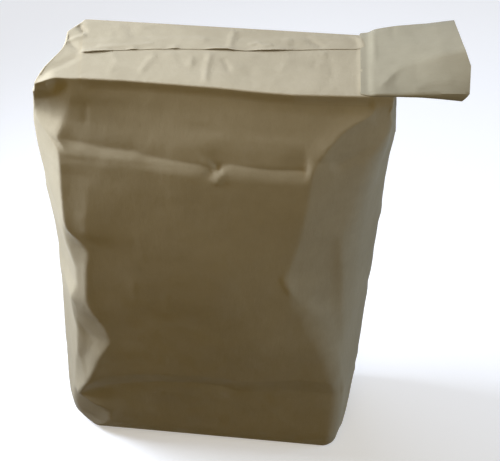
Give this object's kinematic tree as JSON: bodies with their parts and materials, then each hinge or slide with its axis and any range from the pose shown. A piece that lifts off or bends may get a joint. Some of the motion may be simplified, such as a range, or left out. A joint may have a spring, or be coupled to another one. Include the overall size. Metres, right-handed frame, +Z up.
{
  "type": "cement bag",
  "caption": "Filled block-bottom valve sack of brown kraft paper, standing on end, with a flattened paper filling sleeve at one top corner.",
  "frame": {"origin": "middle of the flat bottom face that the sack stands on", "axes": "+Z up along the sack, +X towards the valve sleeve, -Y to the front panel"},
  "size_m": [0.4889, 0.2121, 0.6277],
  "materials": {
    "kraft_paper": "plain unprinted brown kraft paper, matt, fibrous, creased",
    "sleeve_kraft_paper": "plain unprinted kraft paper, a little paler, matt, creased"
  },
  "bodies": {
    "root": {"sack": "kraft_paper", "valve_sleeve": "sleeve_kraft_paper"}
  },
  "joints": []
}
